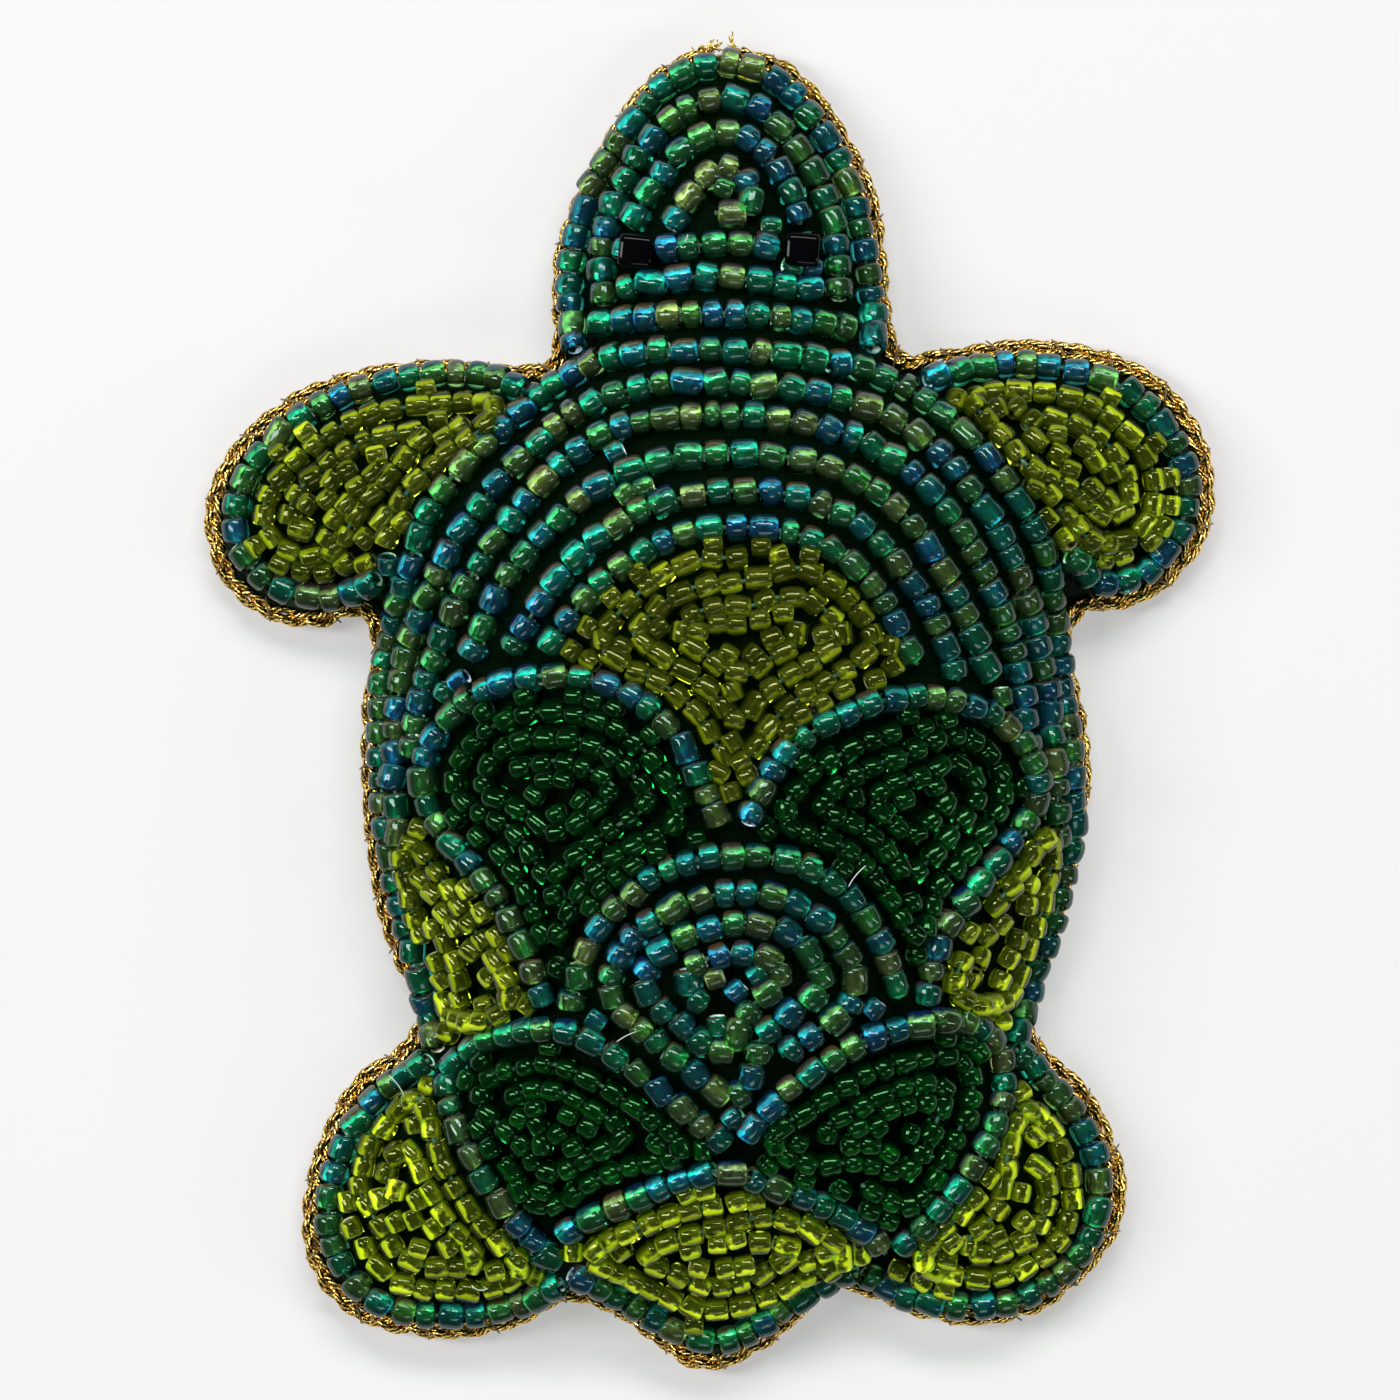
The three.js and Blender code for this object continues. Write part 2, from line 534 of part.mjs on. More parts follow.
const LIME_FILLS = {
  nape_fan_fill: [
    [-8.8, 4.8], [-6.3, 8.2], [-2.8, 10.9], [1.9, 11.7], [6.3, 11.3], [10.4, 8.9], [13, 4.8], [9, 1.9],
    [5.4, -0.6], [1.9, -4.8], [-0.9, -0.6], [-4.2, 2],
  ],
  tail_lens_fill: [
    [-9.8, -43.4], [-6, -41.3], [-2.2, -39.9], [1, -39.2], [4.6, -40.1], [8.6, -41.7], [11.2, -43.4], [6.6, -45.7],
    [3.6, -47.3], [0.4, -48], [-2.8, -47.2], [-5.8, -45.6],
  ],
  left_side_fill: [
    [-24.4, -10], [-21.6, -13.2], [-18.4, -18], [-15.7, -22.2], [-16.2, -24.4], [-20.6, -24.5], [-22, -21],
    [-23.6, -16],
  ],
  right_side_fill: [[27, -10], [23.6, -14.4], [20.8, -18.6], [19.2, -22.7], [23.4, -23.4], [25, -19.8], [26.6, -15]],
  upper_left_limb_fill: [
    [-16.6, 23.6], [-22.4, 23.9], [-28.2, 22.7], [-33, 19.5], [-35.4, 16.2], [-35.2, 13.6], [-32.4, 11.9],
    [-29, 12.2], [-25.8, 14.8], [-22.6, 18.4],
  ],
  upper_right_limb_fill: [
    [20.8, 24.5], [24.6, 25], [29.4, 24.3], [33.2, 21.8], [35.5, 17.2], [33.9, 13.6], [30.6, 13], [27.3, 16],
    [24, 20.4],
  ],
  lower_left_limb_fill: [
    [-23.2, -30.9], [-26, -33.6], [-27.9, -37.2], [-28, -41], [-26.8, -44.2], [-24, -46.1], [-20.2, -46.4],
    [-16.6, -45.9], [-14.8, -44.8], [-18.6, -40.4], [-21.4, -35.6],
  ],
  lower_right_limb_fill: [
    [24.8, -31.6], [27, -33.6], [28.6, -36.8], [28.6, -40.4], [27.3, -43], [24.8, -44.8], [21.4, -45.4],
    [17.6, -44.8], [16.6, -43.6], [20.9, -39.2], [23.6, -35],
  ],
};
for (const [name, outline] of Object.entries(LIME_FILLS)) {
  layRow(name, coil(outline, FILL_PITCH, SMALL_BEAD), SMALL_BEAD, limeGlass, COIL_STEP);
}

export default group;
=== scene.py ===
"""A bead-embroidered turtle ornament, seen from straight above.

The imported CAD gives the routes: each string of beads is a plain tube there, and its centreline is strung
here with separate glass beads. The braid, the cloth, the felt and the filling replace their plain solids.
"""

import json
import math
import random

import bpy
import numpy as np
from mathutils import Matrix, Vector
from mathutils.bvhtree import BVHTree
from mathutils.kdtree import KDTree


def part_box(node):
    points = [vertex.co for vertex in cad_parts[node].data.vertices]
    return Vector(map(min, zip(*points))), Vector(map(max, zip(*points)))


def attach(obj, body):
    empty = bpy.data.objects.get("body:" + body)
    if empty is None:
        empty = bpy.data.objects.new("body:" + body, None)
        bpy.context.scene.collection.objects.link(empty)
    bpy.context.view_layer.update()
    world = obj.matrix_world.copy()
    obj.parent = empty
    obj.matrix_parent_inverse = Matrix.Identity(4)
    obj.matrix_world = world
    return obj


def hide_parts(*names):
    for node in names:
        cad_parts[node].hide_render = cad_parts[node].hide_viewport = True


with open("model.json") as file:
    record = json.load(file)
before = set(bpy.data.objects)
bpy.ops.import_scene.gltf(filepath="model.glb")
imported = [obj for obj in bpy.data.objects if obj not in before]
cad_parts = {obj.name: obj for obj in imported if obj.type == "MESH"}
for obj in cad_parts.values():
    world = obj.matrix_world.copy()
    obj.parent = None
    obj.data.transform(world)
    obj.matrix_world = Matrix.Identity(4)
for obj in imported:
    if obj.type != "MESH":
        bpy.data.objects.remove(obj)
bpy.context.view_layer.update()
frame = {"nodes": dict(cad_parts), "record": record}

MM = 0.001
nodes = frame["nodes"]
dice = random.Random(41)

# ---------------------------------------------------------------- camera, light and floor

scene = bpy.context.scene
VIEW_SIDE = 112 * MM  # what the square picture takes in at the seam
VIEW_CENTRE = (-0.8 * MM, 0.5 * MM)
CAMERA_HEIGHT = 900 * MM
SENSOR = 36.0


def make_camera():
    """Straight above and far off, so that the view has almost no perspective."""
    data = bpy.data.cameras.new("camera")
    data.sensor_width = SENSOR
    data.lens = SENSOR * CAMERA_HEIGHT / VIEW_SIDE
    data.clip_start = 10 * MM
    data.clip_end = 5
    camera = bpy.data.objects.new("camera", data)
    camera.location = (*VIEW_CENTRE, CAMERA_HEIGHT)
    scene.collection.objects.link(camera)
    scene.camera = camera


def area_light(name, place, size, power, colour=(1, 1, 1)):
    data = bpy.data.lights.new(name, "AREA")
    data.shape = "RECTANGLE"
    data.size, data.size_y = size
    data.energy = power
    data.color = colour
    light = bpy.data.objects.new(name, data)
    light.location = place
    light.rotation_euler = (-Vector(place)).to_track_quat("-Z", "Y").to_euler()
    scene.collection.objects.link(light)


def make_lights():
    area_light("head_strip", (0.09, 0.65, 0.9), (0.85, 0.24), 7.4)
    area_light("left_window", (-0.72, 0.14, 0.9), (0.2, 0.72), 6.0)
    area_light("right_fill", (0.9, -0.18, 0.63), (0.11, 0.54), 1.6)
    area_light("foot_panel", (0.18, -0.9, 1.08), (0.72, 0.36), 2.3)
    world = bpy.data.worlds.new("studio")
    world.use_nodes = True
    world.node_tree.nodes["Background"].inputs["Color"].default_value = (0.95, 0.98, 1, 1)
    world.node_tree.nodes["Background"].inputs["Strength"].default_value = 0.07
    scene.world = world
    scene.view_settings.view_transform = "Standard"


# ---------------------------------------------------------------- node materials


class Material:
    """A node material around one Principled BSDF, with short ways to add and join nodes."""

    def __init__(self, name):
        self.material = bpy.data.materials.new(name)
        self.material.use_nodes = True
        self.tree = self.material.node_tree
        self.shader = self.tree.nodes["Principled BSDF"]

    def node(self, kind, **settings):
        made = self.tree.nodes.new(kind)
        for key, value in settings.items():
            setattr(made, key, value)
        return made

    def join(self, source, target):
        self.tree.links.new(source, target)

    def set(self, **values):
        for key, value in values.items():
            self.shader.inputs[key.replace("_", " ")].default_value = value

    def noise(self, scale, detail=3.0, roughness=0.5):
        made = self.node("ShaderNodeTexNoise")
        made.inputs["Scale"].default_value = scale
        made.inputs["Detail"].default_value = detail
        made.inputs["Roughness"].default_value = roughness
        place = self.node("ShaderNodeTexCoord")
        self.join(place.outputs["Object"], made.inputs["Vector"])
        return made.outputs["Fac"]

    def maths(self, operation, a, b):
        made = self.node("ShaderNodeMath", operation=operation)
        for socket, value in zip(made.inputs, (a, b)):
            if isinstance(value, (int, float)):
                socket.default_value = value
            else:
                self.join(value, socket)
        return made.outputs[0]

    def ramp(self, factor, stops):
        made = self.node("ShaderNodeValToRGB")
        elements = made.color_ramp.elements
        while len(elements) < len(stops):
            elements.new(0.5)
        for element, (position, colour) in zip(elements, stops):
            element.position = position
            element.color = (*colour, 1)
        self.join(factor, made.inputs["Fac"])
        return made.outputs["Color"]

    def range(self, factor, low, high):
        made = self.node("ShaderNodeMapRange")
        made.inputs["To Min"].default_value = low
        made.inputs["To Max"].default_value = high
        self.join(factor, made.inputs["Value"])
        return made.outputs["Result"]

    def bump(self, height, distance, strength=1.0):
        made = self.node("ShaderNodeBump")
        made.inputs["Distance"].default_value = distance
        made.inputs["Strength"].default_value = strength
        self.join(height, made.inputs["Height"])
        self.join(made.outputs["Normal"], self.shader.inputs["Normal"])

    def mixed(self, factor, a, b):
        made = self.node("ShaderNodeMix", data_type="RGBA")
        self.join(factor, made.inputs["Factor"])
        for socket, value in zip((made.inputs[6], made.inputs[7]), (a, b)):
            self.join(value, socket)
        return made.outputs[2]

    def bead_numbers(self):
        """Each bead's random tone, depth and wear, and a number that is 1 round its two mouths."""
        attribute = self.node("ShaderNodeAttribute", attribute_name="bead")
        split = self.node("ShaderNodeSeparateColor")
        self.join(attribute.outputs["Color"], split.inputs["Color"])
        tone, depth, wear = (split.outputs[channel] for channel in ("Red", "Green", "Blue"))
        return {"tone": tone, "depth": depth, "wear": wear, "mouth": attribute.outputs["Alpha"]}

    def normal_axes(self):
        """The surface's direction, whole and as its three parts."""
        normal = self.node("ShaderNodeNewGeometry").outputs["Normal"]
        axes = self.node("ShaderNodeSeparateXYZ")
        self.join(normal, axes.inputs["Vector"])
        return {"normal": normal, "X": axes.outputs["X"], "Y": axes.outputs["Y"], "Z": axes.outputs["Z"]}

    def smooth_range(self, value, start, end, low, high):
        made = self.node("ShaderNodeMapRange", interpolation_type="SMOOTHSTEP")
        for socket, number in (("From Min", start), ("From Max", end), ("To Min", low), ("To Max", high)):
            made.inputs[socket].default_value = number
        self.join(value, made.inputs["Value"])
        return made.outputs["Result"]


# Colours over a bead's tone, from blue through green to olive: the lining, the glass on top, and painted
# shade for the glass down its sides. The painted reflection's colours run over the bead's depth number.
LINING_STOPS = [
    (0.0, (0.03, 0.12, 0.36)),
    (0.08, (0.004, 0.28, 0.55)),
    (0.2, (0.001, 0.44, 0.46)),
    (0.32, (0.001, 0.48, 0.28)),
    (0.48, (0.001, 0.40, 0.14)),
    (0.6, (0.03, 0.38, 0.08)),
    (0.72, (0.22, 0.42, 0.07)),
    (0.86, (0.5, 0.44, 0.12)),
    (1.0, (0.48, 0.42, 0.32)),
]
CLEAR_STOPS = [
    (0.0, (0.09, 0.54, 0.7)),
    (0.22, (0.05, 0.63, 0.58)),
    (0.45, (0.04, 0.66, 0.42)),
    (0.7, (0.22, 0.66, 0.24)),
    (1.0, (0.48, 0.62, 0.26)),
]
SIDE_SHADE_STOPS = [
    (0.0, (0.001, 0.04, 0.06)),
    (0.45, (0.001, 0.05, 0.03)),
    (1.0, (0.006, 0.045, 0.01)),
]
PAINTED_REFLECTION_STOPS = [
    (0.0, (0.006, 0.02, 0.09)),
    (0.25, (0.001, 0.04, 0.025)),
    (0.45, (0.002, 0.05, 0.07)),
    (0.65, (0.05, 0.035, 0.05)),
    (0.85, (0.09, 0.055, 0.018)),
    (1.0, (0.02, 0.06, 0.03)),
]


def lamps_let_through(m, tint):
    """Let the lamps' light pass this glass with a tint, where plain refraction would block it."""
    lamp_way = m.node("ShaderNodeBsdfTransparent")
    m.join(tint, lamp_way.inputs["Color"])
    path = m.node("ShaderNodeLightPath")
    both = m.node("ShaderNodeMixShader")
    m.join(path.outputs["Is Shadow Ray"], both.inputs["Fac"])
    m.join(m.shader.outputs["BSDF"], both.inputs[1])
    m.join(lamp_way.outputs["BSDF"], both.inputs[2])
    m.join(both.outputs["Shader"], m.tree.nodes["Material Output"].inputs["Surface"])


def lustre_glass():
    """Dark sea-green glass with painted shade down its sides, and a painted reflection in dull colours that
    covers the head side and makes the glass less clear there.
    """
    m = Material("lustre_glass")
    bead = m.bead_numbers()
    axes = m.normal_axes()
    drift = m.range(m.noise(700, 2), -0.2, 0.2)
    painted_reflection = m.ramp(m.maths("ADD", bead["depth"], drift), PAINTED_REFLECTION_STOPS)
    clear = m.ramp(bead["tone"], CLEAR_STOPS)
    # painted shade: the glass takes the dark side colours where its surface faces sideways, and its clear
    # colour where it faces up
    deep_and_side_shade = m.ramp(bead["tone"], SIDE_SHADE_STOPS)
    glass = m.mixed(m.smooth_range(axes["Z"], 0.4, 0.72, 0.0, 1.0), deep_and_side_shade, clear)
    # painted reflection: dull colours cover the side of every bead that faces the head, however the bead
    # lies, and make the glass less clear there
    lean = m.maths("SUBTRACT", axes["Y"], m.maths("MULTIPLY", axes["X"], 0.35))
    lean = m.maths("ADD", lean, m.range(m.noise(1100, 2), -0.5, 0.5))
    painted_reflection_cover = m.smooth_range(lean, 0.3, 0.8, 0.0, 1.0)
    m.join(m.mixed(painted_reflection_cover, glass, painted_reflection), m.shader.inputs["Base Color"])
    through = m.maths("SUBTRACT", 0.97, m.maths("MULTIPLY", painted_reflection_cover, 0.8))
    m.join(through, m.shader.inputs["Transmission Weight"])
    m.join(m.range(bead["wear"], 0.03, 0.14), m.shader.inputs["Roughness"])
    m.set(IOR=1.5, Specular_IOR_Level=1.0, Specular_Tint=(0.75, 1.0, 0.94, 1.0))
    m.bump(m.noise(1500, 3), 0.03 * MM, 0.6)
    lamps_let_through(m, clear)
    return m.material


def lustre_lining():
    """The shining lining of the hole: the brightest part, with painted highlights, a pale stripe on its head
    side and round its mouths.
    """
    m = Material("lustre_lining")
    bead = m.bead_numbers()
    axes = m.normal_axes()
    drift = m.range(m.noise(800, 2), -0.8, 0.8)
    body = m.ramp(m.maths("ADD", bead["tone"], drift), LINING_STOPS)
    # painted highlight: a pale stripe on the side of the lining that faces the head, and round its mouths,
    # made paler and several times brighter
    lean = m.maths("SUBTRACT", axes["Y"], m.maths("MULTIPLY", axes["X"], 0.45))
    lean = m.maths("ADD", lean, m.range(m.noise(1500, 2), -0.5, 0.5))
    painted_highlight_line = m.smooth_range(lean, 0.5, 0.64, 0.0, 1.0)
    painted_highlight_rim = m.maths("MAXIMUM", painted_highlight_line, m.maths("MULTIPLY", bead["mouth"], m.range(bead["depth"], 0.2, 1.0)))
    pale = m.node("ShaderNodeRGB")
    pale.outputs[0].default_value = (1.0, 1.0, 0.96, 1.0)
    tinted = m.mixed(m.maths("MULTIPLY", painted_highlight_rim, 0.6), body, pale.outputs[0])
    gleam = m.maths("ADD", 0.25, m.maths("MULTIPLY", painted_highlight_rim, 2.8))
    value = m.maths("MULTIPLY", m.range(bead["wear"], 0.45, 1.5), gleam)
    mottle = m.maths("MAXIMUM", m.range(m.noise(1400, 3, 0.6), -0.9, 2.9), 0.15)
    value = m.maths("MULTIPLY", value, mottle)
    shade = m.node("ShaderNodeHueSaturation")
    m.join(tinted, shade.inputs["Color"])
    m.join(value, shade.inputs["Value"])
    m.join(shade.outputs["Color"], m.shader.inputs["Base Color"])
    m.join(m.range(bead["depth"], 0.2, 0.4), m.shader.inputs["Roughness"])
    m.set(Metallic=0.45)
    m.bump(m.noise(1300, 2), 0.05 * MM, 0.8)
    return m.material


def clear_glass(name, pale, deep_and_side_shade, gleam, roughness, gloss):
    """Transparent coloured glass, some beads deeper than others, and all darker down their sides as painted
    shade.
    """
    m = Material(name)
    bead = m.bead_numbers()
    tone_with_side_shade = m.maths("ADD", m.maths("MULTIPLY", bead["tone"], 0.8), m.range(m.noise(700, 2), -0.1, 0.3))
    # painted shade: darker where the surface faces sideways
    tone_with_side_shade = m.maths("MULTIPLY", tone_with_side_shade, m.smooth_range(m.normal_axes()["Z"], 0.0, 0.5, 0.25, 1.0))
    tint = m.ramp(tone_with_side_shade, [(0.0, tuple(0.45 * c for c in deep_and_side_shade)), (0.2, deep_and_side_shade), (1.0, pale)])
    m.join(tint, m.shader.inputs["Base Color"])
    m.join(m.range(bead["wear"], 0.5 * roughness, 1.5 * roughness), m.shader.inputs["Roughness"])
    m.set(IOR=1.5, Transmission_Weight=0.98, Specular_IOR_Level=gloss, Specular_Tint=(*gleam, 1.0))
    m.bump(m.noise(1200, 2), 0.02 * MM, 0.4)
    lamps_let_through(m, tint)
    return m.material


# painted shade: the bore walls' painted light is weakest round this place and grows towards the edge
PAINTED_SHADE_CENTRE = (0.0, 12 * MM)  # bore walls are dimmest round this place, between the nape and the middle


def bore_wall(name, painted_shade_colour, painted_highlight_colour):
    """The frosted wall of a clear bead's hole, coloured with painted light: a painted highlight along its
    outer side and round its mouths, painted shade on top, and painted light that is stronger towards the
    ornament's edge than at its middle."""
    m = Material(name)
    bead = m.bead_numbers()
    axes = m.normal_axes()
    place = m.node("ShaderNodeTexCoord")
    from_centre = m.node("ShaderNodeVectorMath", operation="MULTIPLY_ADD")
    from_centre.inputs[1].default_value = (1, 1, 0)
    from_centre.inputs[2].default_value = (-PAINTED_SHADE_CENTRE[0], -PAINTED_SHADE_CENTRE[1], 0)
    m.join(place.outputs["Object"], from_centre.inputs[0])
    outward = m.node("ShaderNodeVectorMath", operation="NORMALIZE")
    m.join(from_centre.outputs["Vector"], outward.inputs[0])
    facing = m.node("ShaderNodeVectorMath", operation="DOT_PRODUCT")
    m.join(outward.outputs["Vector"], facing.inputs[0])
    m.join(axes["normal"], facing.inputs[1])
    # painted highlight along the side of the wall that faces away from the painted shade centre, and round
    # the mouths
    turned = m.maths("ADD", facing.outputs["Value"], m.range(bead["tone"], -0.5, 0.3))
    painted_highlight_side = m.smooth_range(turned, -0.5, 0.4, 0.25, 1.0)
    upright = m.maths("ADD", m.maths("ABSOLUTE", axes["Z"], 0), m.range(m.noise(1300, 3), -0.6, 0.6))
    side = m.maths("MULTIPLY", m.smooth_range(upright, 0.9, 0.6, 0.0, 1.0), painted_highlight_side)
    painted_highlight = m.maths("MAXIMUM", side, m.maths("MULTIPLY", bead["mouth"], m.range(bead["depth"], 0.1, 0.9)))
    tint = m.ramp(painted_highlight, [(0.0, painted_shade_colour), (0.5, tuple(0.3 * c for c in painted_highlight_colour)), (1.0, painted_highlight_colour)])
    shade = m.node("ShaderNodeHueSaturation")
    m.join(tint, shade.inputs["Color"])
    reach = m.node("ShaderNodeVectorMath", operation="LENGTH")
    m.join(from_centre.outputs["Vector"], reach.inputs[0])
    # painted light: brighter the farther the wall is from the painted shade centre
    painted_light_by_reach = m.smooth_range(reach.outputs["Value"], 18 * MM, 54 * MM, 0.45, 1.55)
    m.join(m.maths("MULTIPLY", painted_light_by_reach, m.range(bead["wear"], 0.6, 1.4)), shade.inputs["Value"])
    m.join(shade.outputs["Color"], m.shader.inputs["Base Color"])
    m.set(Roughness=0.4)
    return m.material


# Gold foil colours over the plies' relief: painted shade, brown-black, in the creases, and paler gold on the
# crests as painted highlight.
FOIL_AND_PAINTED_SHADE_STOPS = [
    (0.32, (0.025, 0.009, 0.001)),
    (0.48, (0.74, 0.37, 0.045)),
    (0.78, (1.0, 0.74, 0.24)),
]


def gold_thread():
    """Metallic foil wound on a yarn: shining flats, paler gold on the crests as painted highlight, and
    painted shade that turns the creases between the plies brown-black.
    """
    m = Material("gold_thread")
    relief = m.node("ShaderNodeAttribute", attribute_name="relief").outputs["Fac"]
    level = m.maths("ADD", relief, m.range(m.noise(1800, 3, 0.6), -0.3, 0.3))
    # painted shade in the creases and painted highlight on the crests, by relief
    m.join(m.ramp(level, FOIL_AND_PAINTED_SHADE_STOPS), m.shader.inputs["Base Color"])
    m.join(m.range(m.noise(2200, 2), 0.1, 0.36), m.shader.inputs["Roughness"])
    m.set(Metallic=1.0)
    m.bump(m.noise(2000, 2, 0.6), 0.16 * MM, 1.0)
    return m.material


def thread_material(name, colour):
    m = Material(name)
    pale = tuple(min(1.0, 1.6 * c + 0.02) for c in colour)
    m.join(m.ramp(m.noise(1800, 2), [(0.35, colour), (0.7, pale)]), m.shader.inputs["Base Color"])
    m.set(Roughness=0.35, Sheen_Weight=0.2)
    m.bump(m.noise(6000, 2), 0.02 * MM, 0.4)
    return m.material


def woven_cloth():
    """Closely woven dark green cloth: crossed threads 0.6 mm apart, with a little nap."""
    m = Material("woven_cloth")
    place = m.node("ShaderNodeTexCoord")
    weaves = []
    for direction in ("X", "Y"):
        wave = m.node("ShaderNodeTexWave", wave_type="BANDS", bands_direction=direction)
        wave.inputs["Scale"].default_value = 520
        wave.inputs["Distortion"].default_value = 1.5
        m.join(place.outputs["Object"], wave.inputs["Vector"])
        weaves.append(wave.outputs["Fac"])
    weave = m.maths("MAXIMUM", weaves[0], weaves[1])
    tint = m.ramp(weave, [(0.2, (0.0002, 0.004, 0.0006)), (0.9, (0.0003, 0.006, 0.001))])
    m.join(tint, m.shader.inputs["Base Color"])
    m.join(m.range(m.noise(300, 3), 0.7, 0.95), m.shader.inputs["Roughness"])
    m.set(Sheen_Weight=0.01, Specular_IOR_Level=0.05)
    m.bump(weave, 0.08 * MM, 0.8)
    return m.material


def felt_material():
    m = Material("felt")
    tint = m.ramp(m.noise(420, 6, 0.75), [(0.3, (0.006, 0.03, 0.014)), (0.7, (0.02, 0.08, 0.04))])
    m.join(tint, m.shader.inputs["Base Color"])
    m.join(m.range(m.noise(900, 3), 0.85, 1.0), m.shader.inputs["Roughness"])
    m.set(Sheen_Weight=0.4, Sheen_Roughness=0.6, Specular_IOR_Level=0.2)
    m.bump(m.noise(1600, 6, 0.8), 0.12 * MM, 1.0)
    return m.material


def wadding_material():
    m = Material("wadding")
    tint = m.ramp(m.noise(500, 5, 0.7), [(0.3, (0.55, 0.52, 0.45)), (0.7, (0.85, 0.83, 0.78))])
    m.join(tint, m.shader.inputs["Base Color"])
    m.set(Roughness=0.95, Sheen_Weight=0.3)
    m.bump(m.noise(1100, 6, 0.8), 0.2 * MM, 1.0)
    return m.material


def black_glass():
    m = Material("black_glass")
    tint = m.ramp(m.noise(500, 2), [(0.3, (0.0005, 0.0006, 0.0008)), (0.8, (0.002, 0.002, 0.003))])
    m.join(tint, m.shader.inputs["Base Color"])
    m.join(m.range(m.noise(900, 3), 0.05, 0.16), m.shader.inputs["Roughness"])
    m.set(IOR=1.5, Specular_IOR_Level=0.14)
    m.bump(m.noise(700, 2), 0.05 * MM, 0.5)
    return m.material


# ---------------------------------------------------------------- routes from the CAD tubes


def merged(obj):
    """The object's corners with duplicates joined, and its edges as pairs of them."""
    count = len(obj.data.vertices)
    places = np.zeros(count * 3)
    obj.data.vertices.foreach_get("co", places)
    keys, back = np.unique(np.round(places.reshape(-1, 3), 7), axis=0, return_inverse=True)
    back = back.reshape(-1)
    ends = np.zeros(len(obj.data.edges) * 2, int)
    obj.data.edges.foreach_get("vertices", ends)
    edges = np.unique(np.sort(back[ends.reshape(-1, 2)], axis=1), axis=0)
    return keys, edges[edges[:, 0] != edges[:, 1]]


def groups_of(count, edges):
    """A group number for each corner, the same for corners that edges join."""
    parent = list(range(count))

    def root(k):
        while parent[k] != k:
            parent[k] = parent[parent[k]]
            k = parent[k]
        return k

    for a, b in edges:
        parent[root(a)] = root(b)
    return np.array([root(k) for k in range(count)])


def centreline(name):
    """The centres of the tube's sections in order. All sides of all sections have one length."""
    points, edges = merged(nodes[name])
    lengths = np.linalg.norm(points[edges[:, 0]] - points[edges[:, 1]], axis=1)
    values, counts = np.unique(np.round(lengths, 6), return_counts=True)
    side = np.median(lengths[np.abs(lengths - values[counts.argmax()]) < 1e-6])
    around = np.abs(lengths - side) < 4e-7
    meeting = np.bincount(edges[around].ravel(), minlength=len(points))
    around &= meeting[edges].min(axis=1) <= 2
    group = groups_of(len(points), edges[around])
    labels = np.unique(group)
    centres = {k: points[group == k].mean(0) for k in labels}
    sizes = {k: int((group == k).sum()) for k in labels}
    usual = max(set(sizes.values()), key=list(sizes.values()).count)
    if any(size != usual for size in sizes.values()):
        raise ValueError(f"{name}: not every section has {usual} corners")
    beside = {k: set() for k in labels}
    for a, b in edges[~around]:
        if group[a] != group[b]:
            beside[group[a]].add(group[b])
            beside[group[b]].add(group[a])
    ends = sorted((k for k in labels if len(beside[k]) == 1), key=lambda k: tuple(centres[k]))
    order, last = [ends[0]], None
    while len(order) < len(labels):
        step = next(k for k in beside[order[-1]] if k != last)
        last = order[-1]
        order.append(step)
    return np.array([centres[k] for k in order])


CURVE_STEPS = 12  # between two given points


def curved(points, spacing):
    """A Catmull-Rom curve through the points, at even spacing."""
    padded = np.vstack([2 * points[0] - points[1], points, 2 * points[-1] - points[-2]])
    t = np.linspace(0, 1, CURVE_STEPS, endpoint=False)[:, None]
    pieces = []
    for a, b, c, d in zip(padded, padded[1:], padded[2:], padded[3:]):
        square, cube = 2 * a - 5 * b + 4 * c - d, 3 * b - a - 3 * c + d
        pieces.append(0.5 * (2 * b + (c - a) * t + square * t**2 + cube * t**3))
    fine = np.vstack([*pieces, points[-1:]])
    along = np.concatenate([[0], np.cumsum(np.linalg.norm(np.diff(fine, axis=0), axis=1))])
    stations = np.linspace(0, along[-1], max(2, int(round(along[-1] / spacing)) + 1))
    return np.column_stack([np.interp(stations, along, fine[:, k]) for k in range(3)])


ROUTE_STEP = 0.25 * MM


class Route:
    """A smooth line that can be asked for a place at any length along it."""

    def __init__(self, points):
        self.points = curved(points, ROUTE_STEP)
        self.measure()

    def measure(self):
        gaps = np.linalg.norm(np.diff(self.points, axis=0), axis=1)
        self.along = np.concatenate([[0], np.cumsum(gaps)])
        self.length = self.along[-1]

    def lower(self, heights):
        self.points[:, 2] = heights
        self.measure()

    def at(self, distance):
        return np.array([np.interp(distance, self.along, self.points[:, k]) for k in range(3)])


# ---------------------------------------------------------------- meshes


def new_piece(name, vertices, faces, material, node_names, slot):
    mesh = bpy.data.meshes.new(name)
    mesh.from_pydata(np.asarray(vertices).tolist(), [], [list(face) for face in faces])
    mesh.validate()
    mesh.materials.append(material)
    mesh.polygons.foreach_set("use_smooth", [True] * len(mesh.polygons))
    obj = bpy.data.objects.new(name, mesh)
    scene.collection.objects.link(obj)
    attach(obj, "root")
    if node_names:
        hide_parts(*node_names)
    return obj


# ---------------------------------------------------------------- strings of beads

SEGMENTS = 20  # round a bead
ARC_POINTS = 11  # over its outside, from mouth to mouth
WALL_SHARES = (-0.46, -0.36, 0.36, 0.46)  # where the rings of its bore lie, as shares of its length


def bead_profile(length, radius, bore, squareness):
    """(along, out) points round the glass of one bead: over the outside and back through its bore."""
    lip = bore + 0.03 * MM
    power = 2 / squareness
    points = []
    for k in range(ARC_POINTS):
        angle = math.pi * k / (ARC_POINTS - 1)
        along = math.copysign(abs(math.cos(angle)) ** power, math.cos(angle)) * length / 2
        out = lip + (radius - lip) * max(math.sin(angle), 0) ** power
        points.append((along, out))
    for share in WALL_SHARES:
        points.append((share * length, bore))
    return np.array(points)


